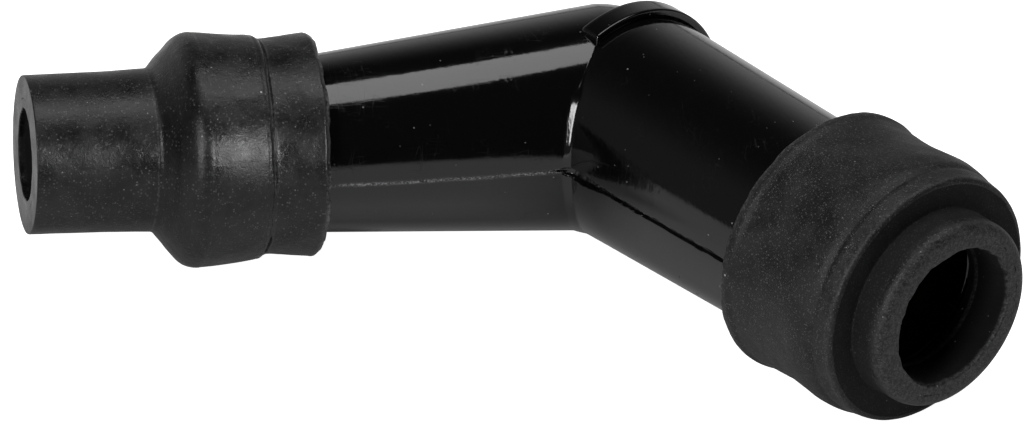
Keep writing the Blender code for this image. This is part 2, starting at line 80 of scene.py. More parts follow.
def armPoints(arm, place, angle, radius, shift=0.0):
    # origin + axis*place + up*radius*cos(angle) + side*(radius*sin(angle) + shift), all in mm
    place, angle, radius, shift = np.broadcast_arrays(place, angle, radius, shift)
    along = place[..., None] * arm["axis"]
    raised = (radius * np.cos(angle))[..., None] * upAxis
    aside = (radius * np.sin(angle) + shift)[..., None] * arm["side"]
    return arm["origin"] + (along + raised + aside) * mm


def armCoords(arm, points):
    # the reverse: distance along the arm, above the bend plane and to the side, in mm
    local = (points - arm["origin"]) / mm
    return local @ arm["axis"], local @ upAxis, local @ arm["side"]


def softNoise(seed, place, angle, cell, cellsRound, octaves=3):
    # random numbers on a lattice of cell mm by cellsRound per turn, eased between neighbours;
    # each octave halves the lattice and the height. It closes on itself round the arm.
    total = np.zeros(np.broadcast(place, angle).shape)
    weight, length, offset = 1.0, 512, 97.0
    for octave in range(octaves):
        around = cellsRound * 2 ** octave
        lattice = np.random.default_rng(seed + octave).uniform(-1.0, 1.0, (length, around))
        u = place / cell * 2 ** octave + offset
        v = (angle / turn) * around
        row, column = np.floor(u).astype(int), np.floor(v).astype(int)
        s, t = u - row, v - column
        s, t = s * s * (3 - 2 * s), t * t * (3 - 2 * t)
        row, nextRow = row % length, (row + 1) % length
        column, nextColumn = column % around, (column + 1) % around
        near = lattice[row, column] * (1 - t) + lattice[row, nextColumn] * t
        far = lattice[nextRow, column] * (1 - t) + lattice[nextRow, nextColumn] * t
        total = total + weight * (near * (1 - s) + far * s)
        weight *= 0.5
    return total


def bell(value, centre, width):
    # exp(-((value - centre)/width)^2)
    return np.exp(-((value - centre) / width) ** 2)


def angleFrom(angle, centre):
    # signed distance round the arm, between -pi and pi
    return (angle - centre + math.pi) % turn - math.pi


def ease(value, low, high):
    # 0 below low, 1 above high, 3t^2 - 2t^3 between
    t = np.clip((value - low) / (high - low), 0.0, 1.0)
    return t * t * (3 - 2 * t)


def roundedLine(corners, closed=True):
    # outline of (place, radius, rounding, spacing) corners in mm: each corner becomes the curve
    # (1-t)^2 enter + 2t(1-t) corner + t^2 leave, with evenly spaced rows up to the next corner
    spots = np.array([corner[:2] for corner in corners])
    rows = []
    for index, (place, radius, rounding, spacing) in enumerate(corners):
        following = (index + 1) % len(spots)
        last, spot, ahead = spots[index - 1], spots[index], spots[following]
        leave = spot + unit(ahead - spot) * rounding
        if rounding > 0.0:
            enter = spot + unit(last - spot) * rounding
            t = np.linspace(0.0, 1.0, max(4, int(2.0 * rounding / spacing)))[:, None]
            rows.append((1 - t) ** 2 * enter + 2 * t * (1 - t) * spot + t ** 2 * leave)
        else:
            rows.append(spot[None, :])
        if following == 0 and not closed:
            break
        reach = ahead + unit(spot - ahead) * corners[following][2]
        count = int(np.linalg.norm(reach - leave) / spacing)
        t = (np.arange(1, count) / max(count, 1))[:, None]
        rows.append(leave * (1 - t) + reach * t)
    line = np.concatenate(rows)
    return line[:, 0], line[:, 1]


def gridMesh(name, points, closed=True):
    # points is rows x columns x 3; columns wrap round the arm, rows wrap too when closed,
    # otherwise each end is closed by a pole at the mean of its ring
    rows, columns = points.shape[:2]
    corner = points.reshape(-1, 3)
    lower = np.arange(rows if closed else rows - 1)[:, None] * columns
    upper = (lower + columns) % (rows * columns)
    first = np.arange(columns)[None, :]
    second = (first + 1) % columns
    quads = np.stack([lower + first, lower + second, upper + second, upper + first], -1)
    quads = quads.reshape(-1, 4)
    triangles = np.zeros((0, 3), int)
    if not closed:
        corner = np.concatenate([corner, points[0].mean(0)[None], points[-1].mean(0)[None]])
        foot, head = rows * columns, rows * columns + 1
        ring, after = first[0], second[0]
        topRing = ring + (rows - 1) * columns
        topAfter = after + (rows - 1) * columns
        triangles = np.concatenate([
            np.stack([np.full(columns, foot), after, ring], -1),
            np.stack([np.full(columns, head), topRing, topAfter], -1)])
    # six times the volume, a.(b x c) + a.(c x d) over the quads, is negative when inside out
    a, b, c, d = (corner[quads[:, k]] for k in range(4))
    volume = (a * np.cross(b, c)).sum() + (a * np.cross(c, d)).sum()
    if volume < 0.0:
        quads, triangles = quads[:, ::-1], triangles[:, ::-1]
    mesh = bpy.data.meshes.new(name)
    mesh.from_pydata(corner.tolist(), [], quads.tolist() + triangles.tolist())
    mesh.update()
    mesh.shade_smooth()
    return mesh


def paint(mesh, material):
    mesh.materials.clear()
    mesh.materials.append(material)


def addPiece(name, mesh, material):
    piece = bpy.data.objects.new(name, mesh)
    bpy.context.scene.collection.objects.link(piece)
    paint(mesh, material)
    return piece


def standFor(piece, node):
    # the piece takes the place of a CAD node on the one body that there is
    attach(piece, "root")
    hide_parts(node)


def vertexArray(mesh):
    flat = np.zeros(len(mesh.vertices) * 3)
    mesh.vertices.foreach_get("co", flat)
    return flat.reshape(-1, 3)


def markPoints(mesh, name, values):
    # a named 0-1 mask on the mesh for the materials
    mark = mesh.attributes.new(name, "FLOAT", "POINT")
    mark.data.foreach_set("value", np.clip(values, 0.0, 1.0).ravel().astype(np.float32))


def setVertices(mesh, points):
    mesh.vertices.foreach_set("co", points.ravel())
    mesh.update()


# Shader node helpers

def newMaterial(name):
    material = bpy.data.materials.new(name)
    material.use_nodes = True
    nodes = material.node_tree.nodes
    return material, material.node_tree, nodes["Principled BSDF"]


def addNode(tree, kind, label=None, **settings):
    node = tree.nodes.new(kind)
    if label:
        node.label = label
    for key, value in settings.items():
        setattr(node, key, value)
    return node


def setInputs(node, **values):
    for key, value in values.items():
        node.inputs[key.replace("_", " ")].default_value = value
    return node


def newGroup(name, inputs, outputs):
    group = bpy.data.node_groups.new(name, "ShaderNodeTree")
    for label, kind, value in inputs:
        socket = group.interface.new_socket(label, in_out="INPUT", socket_type="NodeSocket" + kind)
        if value is not None:
            socket.default_value = value
    for label, kind in outputs:
        group.interface.new_socket(label, in_out="OUTPUT", socket_type="NodeSocket" + kind)
    return group, group.nodes.new("NodeGroupInput"), group.nodes.new("NodeGroupOutput")


def useGroup(tree, group, vector, **values):
    node = tree.nodes.new("ShaderNodeGroup")
    node.node_tree = group
    node.label = group.name
    tree.links.new(vector, node.inputs["Vector"])
    return setInputs(node, **values)


def mathNode(tree, operation, first, second=None, third=None, clamp=False):
    node = tree.nodes.new("ShaderNodeMath")
    node.operation = operation
    node.use_clamp = clamp
    for socket, value in zip(node.inputs, (first, second, third)):
        if value is None:
            continue
        if isinstance(value, (int, float)):
            socket.default_value = value
        else:
            tree.links.new(value, socket)
    return node.outputs[0]


def rangeNode(tree, value, low, high, toLow=0.0, toHigh=1.0):
    node = tree.nodes.new("ShaderNodeMapRange")
    node.interpolation_type = "SMOOTHSTEP"
    setInputs(node, From_Min=low, From_Max=high, To_Min=toLow, To_Max=toHigh)
    tree.links.new(value, node.inputs["Value"])
    return node.outputs["Result"]


def colourMix(tree, factor, first, second):
    node = tree.nodes.new("ShaderNodeMix")
    node.data_type = "RGBA"
    tree.links.new(factor, node.inputs["Factor"])
    for socket, value in ((node.inputs[6], first), (node.inputs[7], second)):
        if isinstance(value, tuple):
            socket.default_value = (*value, 1.0)
        else:
            tree.links.new(value, socket)
    return node.outputs[2]


def noiseNode(tree, vector, scale, detail=2.0, roughness=0.5):
    node = tree.nodes.new("ShaderNodeTexNoise")
    setInputs(node, Scale=scale, Detail=detail, Roughness=roughness)
    tree.links.new(vector, node.inputs["Vector"])
    return node.outputs["Fac"]


# Node groups shared by the materials. Every vector is in mm.

def makeSpeckGroup():
    # a cell is a speck when its own random number is under Amount; its size is Size of the cell
    group, entry, leave = newGroup(
        "Specks",
        [("Vector", "Vector", None), ("Cells per mm", "Float", 2.0), ("Amount", "Float", 0.05),
         ("Size", "Float", 0.2)],
        [("Mask", "Float")])
    links = group.links
    cells = addNode(group, "ShaderNodeTexVoronoi", "cells")
    links.new(entry.outputs["Vector"], cells.inputs["Vector"])
    links.new(entry.outputs["Cells per mm"], cells.inputs["Scale"])
    split = addNode(group, "ShaderNodeSeparateColor")
    links.new(cells.outputs["Color"], split.inputs["Color"])
    chosen = mathNode(group, "LESS_THAN", split.outputs["Red"], entry.outputs["Amount"])
    size = mathNode(group, "MULTIPLY", entry.outputs["Size"],
                    mathNode(group, "MULTIPLY_ADD", split.outputs["Green"], 0.8, 0.4))
    inside = mathNode(group, "SUBTRACT", 1.0,
                      mathNode(group, "DIVIDE", cells.outputs["Distance"], size), clamp=True)
    strength = mathNode(group, "MULTIPLY_ADD", split.outputs["Blue"], 0.7, 0.3)
    soft = mathNode(group, "POWER", inside, 0.5)
    links.new(mathNode(group, "MULTIPLY", mathNode(group, "MULTIPLY", soft, strength), chosen),
              leave.inputs["Mask"])
    return group


def makeScratchGroup():
    # noise stretched along one direction, kept only where it passes a narrow band
    group, entry, leave = newGroup(
        "Scratches",
        [("Vector", "Vector", None), ("Stretch", "Vector", (1.0, 1.0, 1.0)), ("Width", "Float", 0.02)],
        [("Mask", "Float")])
    scaled = addNode(group, "ShaderNodeVectorMath", operation="MULTIPLY")
    group.links.new(entry.outputs["Vector"], scaled.inputs[0])
    group.links.new(entry.outputs["Stretch"], scaled.inputs[1])
    wave = noiseNode(group, scaled.outputs[0], 1.0, 1.0)
    off = mathNode(group, "ABSOLUTE", mathNode(group, "SUBTRACT", wave, 0.5))
    line = mathNode(group, "SUBTRACT", 1.0, mathNode(group, "DIVIDE", off, entry.outputs["Width"]),
                    clamp=True)
    patches = rangeNode(group, noiseNode(group, entry.outputs["Vector"], 0.35, 2.0), 0.48, 0.62)
    group.links.new(mathNode(group, "MULTIPLY", line, patches), leave.inputs["Mask"])
    return group


def makeGrainGroup():
    # moulded rubber skin: fine noise for the height, and the brightest grains as a sparkle mask
    group, entry, leave = newGroup(
        "Rubber grain",
        [("Vector", "Vector", None), ("Grain per mm", "Float", 7.0), ("Sparkle", "Float", 0.6)],
        [("Height", "Float"), ("Sparkle", "Float"), ("Mottle", "Float")])
    links = group.links
    fine = addNode(group, "ShaderNodeTexNoise", "grain")
    setInputs(fine, Detail=3.0, Roughness=0.6)
    links.new(entry.outputs["Vector"], fine.inputs["Vector"])
    links.new(entry.outputs["Grain per mm"], fine.inputs["Scale"])
    links.new(fine.outputs["Fac"], leave.inputs["Height"])
    sparkle = rangeNode(group, fine.outputs["Fac"], 0.60, 0.80)
    links.new(mathNode(group, "MULTIPLY", sparkle, entry.outputs["Sparkle"]), leave.inputs["Sparkle"])
    links.new(noiseNode(group, entry.outputs["Vector"], 0.45, 4.0, 0.6), leave.inputs["Mottle"])
    return group


speckGroup = makeSpeckGroup()
scratchGroup = makeScratchGroup()
grainGroup = makeGrainGroup()


def millimetres(tree):
    # object coordinates in mm
    coords = addNode(tree, "ShaderNodeTexCoord")
    scaled = addNode(tree, "ShaderNodeVectorMath", "millimetres", operation="SCALE")
    scaled.inputs["Scale"].default_value = 1000.0
    tree.links.new(coords.outputs["Object"], scaled.inputs[0])
    return scaled.outputs[0]


def bumpNode(tree, height, distance, normal=None):
    # distance is the bump's height in mm
    node = addNode(tree, "ShaderNodeBump")
    node.inputs["Distance"].default_value = distance * mm
    tree.links.new(height, node.inputs["Height"])
    if normal:
        tree.links.new(normal, node.inputs["Normal"])
    return node.outputs["Normal"]


def maskNode(tree, name):
    # a mask that markPoints put on the mesh
    node = addNode(tree, "ShaderNodeAttribute", name)
    node.attribute_name = name
    return node.outputs["Fac"]


# Gloss black phenolic

phenolicLook = {
    "base": (0.0018, 0.0018, 0.0020), "dust": (0.32, 0.32, 0.33), "flash": (0.22, 0.22, 0.225),
    "roughness": 0.07, "haze": 0.05, "scratchRoughness": 0.22, "dustRoughness": 0.5,
    "flashRoughness": 0.45,
    "bump": 0.02,  # mm, and the five heights below are shares of it
    "ripple": 0.16, "orangePeel": 0.03, "marks": 0.42, "scratchDepth": 0.04, "flashHeight": 0.6,
    "markStretch": (3.2, 0.9, 0.9),
}


def makePhenolic():
    # colour: base, then dust, then flash on the split line. Roughness: haze + scratches + dust +
    # flash. Height: ripple + orange peel + handling marks - scratches + flash.
    look = phenolicLook
    material, tree, shader = newMaterial("Phenolic black")
    links = tree.links
    vector = millimetres(tree)
    specks = useGroup(tree, speckGroup, vector, Cells_per_mm=1.1, Amount=0.05, Size=0.09)
    fine = useGroup(tree, speckGroup, vector, Cells_per_mm=3.0, Amount=0.02, Size=0.22)
    dust = mathNode(tree, "MAXIMUM", specks.outputs["Mask"], fine.outputs["Mask"])
    across = useGroup(tree, scratchGroup, vector, Stretch=(1.6, 0.22, 0.22), Width=0.012)
    along = useGroup(tree, scratchGroup, vector, Stretch=(0.3, 2.2, 2.2), Width=0.010)
    scratches = mathNode(tree, "MAXIMUM", across.outputs["Mask"], along.outputs["Mask"])
    parting = maskNode(tree, "parting")
    grit = rangeNode(tree, noiseNode(tree, vector, 8.0, 3.0, 0.7), 0.44, 0.60)
    flash = mathNode(tree, "MULTIPLY", parting, grit)

    dusty = colourMix(tree, mathNode(tree, "MULTIPLY", dust, 0.7), look["base"], look["dust"])
    links.new(colourMix(tree, flash, dusty, look["flash"]), shader.inputs["Base Color"])

    haze = rangeNode(tree, noiseNode(tree, vector, 0.25, 4.0), 0.35, 0.75, 0.0, look["haze"])
    rough = mathNode(tree, "MULTIPLY_ADD", scratches, look["scratchRoughness"], look["roughness"])
    rough = mathNode(tree, "ADD", haze, rough)
    rough = mathNode(tree, "MULTIPLY_ADD", dust, look["dustRoughness"], rough)
    rough = mathNode(tree, "MULTIPLY_ADD", parting, look["flashRoughness"], rough, clamp=True)
    links.new(rough, shader.inputs["Roughness"])

    ripple = noiseNode(tree, vector, 0.9, 2.0)
    orangePeel = noiseNode(tree, vector, 6.0, 2.0)
    # fine handling marks across the arms, which fray the edges of the highlights
    crossed = addNode(tree, "ShaderNodeVectorMath", "across the arms", operation="MULTIPLY")
    links.new(vector, crossed.inputs[0])
    crossed.inputs[1].default_value = look["markStretch"]
    marks = noiseNode(tree, crossed.outputs[0], 1.0, 3.0, 0.6)
    height = mathNode(tree, "MULTIPLY", ripple, look["ripple"])
    height = mathNode(tree, "MULTIPLY_ADD", orangePeel, look["orangePeel"], height)
    height = mathNode(tree, "MULTIPLY_ADD", marks, look["marks"], height)
    height = mathNode(tree, "MULTIPLY_ADD", scratches, -look["scratchDepth"], height)
    height = mathNode(tree, "MULTIPLY_ADD", flash, look["flashHeight"], height)
    links.new(bumpNode(tree, height, look["bump"]), shader.inputs["Normal"])
    shader.inputs["IOR"].default_value = 1.5
    return material


# Matte black rubber

def makeRubber(name, look):
    # colour: mottled dark and light, then worn edges with painted highlights, sparkle of the grain,
    # dots, painted shade in the bores and on recessed faces, and dust. Roughness: mottled, less on the
    # sparkle and
    # more in the bore. Height: wrinkles and grain.
    material, tree, shader = newMaterial(name)
    links = tree.links
    vector = millimetres(tree)
    grain = useGroup(tree, grainGroup, vector, Grain_per_mm=look["grain"], Sparkle=look["sparkle"])
    mottle, sparkle = grain.outputs["Mottle"], grain.outputs["Sparkle"]
    specks = useGroup(tree, speckGroup, vector, Cells_per_mm=1.0, Amount=0.05, Size=0.09)
    fine = useGroup(tree, speckGroup, vector, Cells_per_mm=3.2, Amount=look["dustAmount"], Size=0.20)
    dots = useGroup(tree, speckGroup, vector, Cells_per_mm=look["dots"], Amount=look["dotAmount"],
                    Size=0.45)
    # painted shade: where the inside mask is set, the colour goes dark towards the bore colour
    inside = maskNode(tree, "inside")
    # worn edges and painted highlights: the edge colour lightens the worn mask in patches
    patchy = rangeNode(tree, noiseNode(tree, vector, 4.0, 3.0, 0.7), 0.40, 0.62)
    edge = mathNode(tree, "MULTIPLY", maskNode(tree, "wearAndHighlight"), patchy)
    fineDust = mathNode(tree, "MULTIPLY", fine.outputs["Mask"], 0.5)
    dust = mathNode(tree, "MAXIMUM", specks.outputs["Mask"], fineDust)

    colour = colourMix(tree, rangeNode(tree, mottle, 0.35, 0.65), look["dark"], look["light"])
    colour = colourMix(tree, edge, colour, look["edge"])
    colour = colourMix(tree, sparkle, colour, look["glint"])
    colour = colourMix(tree, dots.outputs["Mask"], colour, look["dot"])
    colour = colourMix(tree, inside, colour, look["bore"])
    links.new(colourMix(tree, dust, colour, look["dust"]), shader.inputs["Base Color"])

    smooth, rough = look["roughness"] - 0.06, look["roughness"] + 0.08
    shine = rangeNode(tree, mottle, 0.3, 0.7, smooth, rough)
    shine = mathNode(tree, "MULTIPLY_ADD", sparkle, -0.15, shine)
    shine = mathNode(tree, "MULTIPLY_ADD", inside, 0.5, shine, clamp=True)
    links.new(shine, shader.inputs["Roughness"])

    skin = addNode(tree, "ShaderNodeTexNoise", "wrinkles")
    setInputs(skin, Scale=1.7, Detail=4.0, Roughness=0.62, Distortion=1.2)
    links.new(vector, skin.inputs["Vector"])
    wrinkled = bumpNode(tree, skin.outputs["Fac"], look["wrinkle"])
    grained = bumpNode(tree, grain.outputs["Height"], look["grainDepth"], normal=wrinkled)
    links.new(grained, shader.inputs["Normal"])
    shader.inputs["IOR"].default_value = 1.45
    shader.inputs["Specular IOR Level"].default_value = look["specular"]
    return material


# edge lightens worn edges and paints highlights on rounded edges; bore is painted shade in bores and on
# recessed faces
cableRubberLook = {
    "dark": (0.0028, 0.0028, 0.0029), "light": (0.0068, 0.0068, 0.0070), "edge": (0.06, 0.06, 0.06),
    "glint": (0.045, 0.045, 0.046), "dust": (0.45, 0.45, 0.46), "dustAmount": 0.05,
    "dot": (0.050, 0.050, 0.052), "dots": 5.5, "dotAmount": 0.38, "bore": (0.001, 0.001, 0.001),
    "grain": 9.0, "sparkle": 0.60, "roughness": 0.33, "specular": 0.31, "wrinkle": 0.03,
    "grainDepth": 0.016,
}
plugRubberLook = dict(cableRubberLook, dark=(0.0030, 0.0030, 0.0031), light=(0.0115, 0.0115, 0.0117),
                      sparkle=0.90, roughness=0.50, specular=0.33, dots=7.0, dotAmount=0.60,
                      dot=(0.080, 0.080, 0.082), grainDepth=0.035, grain=7.0)


# Metal and ceramic inside

innerLook = {
    "brass": {"name": "Turned brass", "roughness": 0.24,
              "colour": (0.60, 0.42, 0.15), "stain": (0.30, 0.19, 0.07)},
    "steel": {"name": "Plated steel", "roughness": 0.28,
              "colour": (0.52, 0.52, 0.53), "stain": (0.30, 0.29, 0.27)},
    "ceramic": {"name": "Ceramic rod", "roughness": 0.50,
                "colour": (0.62, 0.56, 0.46), "stain": (0.48, 0.41, 0.32)},
}


def makeMetal(look):
    # a soft stain darkens and dulls the metal, turning marks dull it further
    material, tree, shader = newMaterial(look["name"])
    vector = millimetres(tree)
    turned = useGroup(tree, scratchGroup, vector, Stretch=(6.0, 6.0, 0.6), Width=0.04)
    stain = rangeNode(tree, noiseNode(tree, vector, 1.1, 4.0, 0.6), 0.42, 0.66)
    colour = colourMix(tree, stain, look["colour"], look["stain"])
    tree.links.new(colour, shader.inputs["Base Color"])
    rough = mathNode(tree, "MULTIPLY_ADD", stain, 0.18, look["roughness"])
    rough = mathNode(tree, "MULTIPLY_ADD", turned.outputs["Mask"], 0.15, rough, clamp=True)
    tree.links.new(rough, shader.inputs["Roughness"])
    tree.links.new(bumpNode(tree, noiseNode(tree, vector, 9.0, 3.0), 0.01), shader.inputs["Normal"])
    shader.inputs["Metallic"].default_value = 1.0
    return material


def makeCeramic(look):
    # unglazed: a soft stain in the colour, a chalky roughness and a fine grain
    material, tree, shader = newMaterial(look["name"])
    vector = millimetres(tree)
    stain = rangeNode(tree, noiseNode(tree, vector, 1.4, 5.0, 0.6), 0.35, 0.7)
    colour = colourMix(tree, stain, look["colour"], look["stain"])
    tree.links.new(colour, shader.inputs["Base Color"])
    smooth, rough = look["roughness"], look["roughness"] + 0.25
    chalk = rangeNode(tree, noiseNode(tree, vector, 5.0, 3.0), 0.3, 0.7, smooth, rough)
    tree.links.new(chalk, shader.inputs["Roughness"])
    tree.links.new(bumpNode(tree, noiseNode(tree, vector, 8.0, 4.0), 0.015), shader.inputs["Normal"])
    return material


phenolic = makePhenolic()
cableRubber = makeRubber("Cable seal rubber", cableRubberLook)
plugRubber = makeRubber("Plug seal rubber", plugRubberLook)
brass = makeMetal(innerLook["brass"])
steel = makeMetal(innerLook["steel"])
ceramic = makeCeramic(innerLook["ceramic"])
innerMaterials = {
    "terminal_socket": brass, "contact_rivet": brass, "retaining_clip": steel,
    "contact_spring": steel, "resistor_cap_front": steel, "resistor_cap_rear": steel,
    "cable_screw": steel, "resistor_rod": ceramic,
}
for node, material in innerMaterials.items():
    paint(frame["nodes"][node].data, material)
print("materials made")


# Elbow moulding

nearAxis = 0.02  # mm, radius of the small ring round each pole

elbowShape = {
    # cable arm: radius at the seal's rim and at the elbow, the centre's shift there, and the ball
    "cableRadius": 6.69, "elbowRadius": 8.82, "shift": 2.62, "taperEnd": 25.0, "ballStart": 2.5,
    "flatDepth": 1.5, "flatTurn": math.radians(-70.0), "flatPower": 5.3, "flatFalloff": 2.6,
    "spigot": [(34.4, 6.0), (33.5, 6.9), (29.6, 6.9), (29.6, 6.1), (28.0, 6.1)],
    # plug arm, and the collar behind it
    "plugRadius": 8.75, "plugFrontRadius": 8.10, "plugLength": 30.6,
    "collarRadius": 9.44, "collarBack": -3.0, "collarFront": -1.15, "ledge": 0.58, "dish": 0.25,
    "collarSide": 2.75, "collarLean": 1.25, "collarCorner": 0.06,
    # fillet between the arms: its reach k low in the crease, at the top, and where it changes
    "creaseRound": 0.38, "creaseTopRound": 0.03, "creaseTop": (5.2, 6.4),
    # bores as places and radii
    "cableBore": [(0.0, 1.3), (4.2, 1.3), (4.2, 3.2), (20.0, 3.2), (20.0, 3.7), (33.9, 3.7),
                  (34.4, 4.2), (35.4, 4.2)],
    "plugBore": [(-0.9, 2.5), (11.2, 2.5), (11.2, 5.1), (20.0, 5.1), (20.0, 5.9), (30.1, 5.9),
                 (30.6, 6.4), (31.6, 6.4)],
    # split line of the mould: groove, chip at the crease, its thin end, flash
    "groove": 0.08, "ragged": 0.13, "grooveDepth": 0.20, "raggedDepth": 0.12,
    "chipPlace": 3.4, "chipSpread": 1.9, "chipWidth": 0.36, "chipDepth": 0.6,
    "wedgeLength": 1.0, "wedgeWidth": 0.30, "wedgeDepth": 0.22,
    "flashWidth": 0.13, "flashHeight": 0.02,
    # points round each surface
    "columns": 292, "collarColumns": 560, "boreColumns": 96,
    "partingColumns": 9.0, "partingSpread": 0.05,
}


def cableRadius(place):
    # straight taper: elbowRadius + (cableRadius - elbowRadius)*place/taperEnd
    s = elbowShape
    return s["elbowRadius"] + (s["cableRadius"] - s["elbowRadius"]) * place / s["taperEnd"]


def cableShift(place):
    # shift*(1 - place/taperEnd): the outer side flares more, so the centre moves out to the elbow
    return elbowShape["shift"] * np.clip(1.0 - place / elbowShape["taperEnd"], 0.0, None)


def cableSqueeze(place, angle):
    # the section is flatter on its inner side: 1 - flatDepth/radius * cos(angle - flatTurn)^flatPower
    # * (1 - place/taperEnd)^flatFalloff
    s = elbowShape
    facing = np.clip(np.cos(angle - s["flatTurn"]), 0.0, None) ** s["flatPower"]
    nearness = np.clip(1.0 - place / s["taperEnd"], 0.0, None) ** s["flatFalloff"]
    return 1.0 - s["flatDepth"] * facing * nearness / cableRadius(place)


def plugRadius(place):
    # straight taper: plugRadius + (plugFrontRadius - plugRadius)*place/plugLength
    s = elbowShape
    return s["plugRadius"] + (s["plugFrontRadius"] - s["plugRadius"]) * place / s["plugLength"]


def partingAngles(count, centre):
    # angles round an arm whose density is 1 + partingColumns*exp(-(away/partingSpread)^2), so that
    # they are packed closer on both sides of the split line
    s = elbowShape
    fine = np.linspace(0.0, turn, 4096)
    away = angleFrom(fine, centre)
    density = 1.0 + s["partingColumns"] * bell(away, 0.0, s["partingSpread"])
    grown = np.concatenate([[0.0], np.cumsum(0.5 * (density[1:] + density[:-1]))])
    return np.interp(np.arange(count) / count * grown[-1], grown, fine)


def cableArmSkin():
    # rows from the spigot's end back to the elbow with radius cableRadius(place)*cableSqueeze, then a
    # ball behind the plug arm: place = ballStart - R*sin(dip), radius = R*cos(dip)
    s = elbowShape
    hidden = np.array([*s["spigot"], (28.0, cableRadius(28.0)), (26.5, cableRadius(26.5))])
    coarse, fine = np.arange(25.6, 10.0, -0.4), np.arange(10.0, s["ballStart"], -0.09)
    places = np.concatenate([coarse, fine])
    ballRadius = cableRadius(s["ballStart"])
    dip = np.linspace(0.0, 0.5 * math.pi, 31)[:-1]
    place = np.concatenate([hidden[:, 0], places, s["ballStart"] - ballRadius * np.sin(dip)])
    radius = np.concatenate([hidden[:, 1], cableRadius(places), ballRadius * np.cos(dip)])
    section = np.maximum(place, s["ballStart"])[:, None]
    angle = partingAngles(s["columns"], 1.5 * math.pi)[None, :]
    radius = radius[:, None] * cableSqueeze(section, angle)
    return armPoints(cableArm, place[:, None], angle, radius, cableShift(section))


def collarSkin():
    # the outline is back disc, rim, ledge and shallow dish. On the inner side it ends in a leaning
    # flat: the radius is times the soft minimum of 1 and
    # (collarSide + collarLean*cos(angle))/(collarRadius*sin(angle)).
    s = elbowShape
    rim, back, front = s["collarRadius"], s["collarBack"], s["collarFront"]
    ledge, floor = rim - s["ledge"], front - s["dish"]
    place, radius = roundedLine([
        (back, nearAxis, 0.0, 1.2), (back, rim, 0.22, 0.20), (front, rim, 0.20, 0.04),
        (front, ledge, 0.10, 0.03), (floor, ledge - 0.06, 0.08, 0.08), (floor, nearAxis, 0.0, 0.8),
    ], closed=False)
    angle = np.arange(s["collarColumns"]) / s["collarColumns"] * turn
    lean = s["collarSide"] + s["collarLean"] * np.cos(angle)
    flat = lean / (rim * np.clip(np.sin(angle), 0.1, None))
    corner = np.clip(s["collarCorner"] - np.abs(flat - 1.0), 0.0, None) ** 2 / (4.0 * s["collarCorner"])
    shrink = np.minimum(flat, 1.0) - corner
    return armPoints(plugArm, place[:, None], angle[None, :], radius[:, None] * shrink[None, :])


def plugArmSkin():
    # it starts inside the collar, follows plugRadius(place) to the plug seal's lip, and then has the
    # bead and the front that the seal hides
    start, bend, middle, bead = (float(plugRadius(place)) for place in (0.0, 11.0, 21.4, 26.1))
    place, radius = roundedLine([
        (-2.4, nearAxis, 0.0, 1.2), (-2.4, start, 0.0, 0.3), (0.0, start, 0.0, 0.10),
        (11.0, bend, 0.0, 0.4), (21.4, middle, 0.0, 0.7), (26.1, bead, 0.0, 0.6),
        (26.6, 8.6, 0.1, 0.6), (28.8, 8.6, 0.1, 0.6), (29.3, 8.1, 0.1, 0.6), (30.6, 8.1, 0.4, 0.3),
        (30.6, nearAxis, 0.0, 1.2),
    ], closed=False)
    angle = partingAngles(elbowShape["columns"], 0.5 * math.pi)
    return armPoints(plugArm, place[:, None], angle[None, :], radius[:, None])


def boreSkin(arm, outline):
    # one ring of points for each place and radius of the outline
    place, radius = (np.array(column) for column in zip(*outline))
    angle = np.arange(elbowShape["boreColumns"]) / elbowShape["boreColumns"] * turn
    return armPoints(arm, place[:, None], angle[None, :], radius[:, None])


def carve(target, cutterMesh, operation):
    cutter = bpy.data.objects.new("carver", cutterMesh)
    bpy.context.scene.collection.objects.link(cutter)
    change = target.modifiers.new(operation, "BOOLEAN")
    change.operation = operation
    change.solver = "EXACT"
    change.object = cutter
    graph = bpy.context.evaluated_depsgraph_get()
    result = bpy.data.meshes.new_from_object(target.evaluated_get(graph), depsgraph=graph)
    target.modifiers.clear()
    target.data = result
    bpy.data.objects.remove(cutter)


def cableGap(points):
    # distance to the cable arm's skin: hypot(side - shift, up) - radius, a ball behind its start
    along, up, side = armCoords(cableArm, points)
    start = elbowShape["ballStart"]
    held = np.maximum(along, start)
    behind = np.minimum(along - start, 0.0)
    aside = side - cableShift(held)
    across = np.hypot(aside, up) / cableSqueeze(held, np.arctan2(aside, up))
    return np.hypot(across, behind) - cableRadius(held)


def plugGap(points):
    # distance to the plug arm's straight skin: hypot(side, up) - radius
    along, up, side = armCoords(plugArm, points)
    return np.hypot(side, up) - plugRadius(along)


def creaseWidth(points):
    # the fillet's reach k, which shrinks towards the top of the crease
    s = elbowShape
    up = armCoords(plugArm, points)[1]
    return s["creaseRound"] + (s["creaseTopRound"] - s["creaseRound"]) * ease(up, *s["creaseTop"])


def joinedGap(points):
    # smooth union (a + b)/2 - k*(w^6 + 5)/12 with w = (a - b)/k: nearly flat in the middle of the
    # fillet and turning quickly at both its edges
    a, b = cableGap(points), plugGap(points)
    k = creaseWidth(points)
    w = np.clip((a - b) / k, -1.0, 1.0)
    return np.where(np.abs(a - b) < k, 0.5 * (a + b) - k * (w ** 6 + 5.0) / 12.0, np.minimum(a, b))


def settle(points, gap, reach=1e-6):
    # four Newton steps onto gap = 0 along its own slope
    for step in range(4):
        slope = np.empty_like(points)
        for axis in range(3):
            push = np.zeros(3)
            push[axis] = reach
            slope[:, axis] = (gap(points + push) - gap(points - push)) / (2.0 * reach / mm)
        points = points - slope * (gap(points) / (slope ** 2).sum(1))[:, None] * mm
    return points


def roundCrease(mesh):
    # points near both skins move onto the smooth union, which leaves a small fillet in the crease
    points = vertexArray(mesh)
    a, b = cableGap(points), plugGap(points)
    along = armCoords(plugArm, points)[0]
    near = (np.abs(a - b) < creaseWidth(points)) & (np.minimum(a, b) > -0.5) & (along > -0.3)
    points[near] = settle(points[near], joinedGap)
    setVertices(mesh, points)
    return near


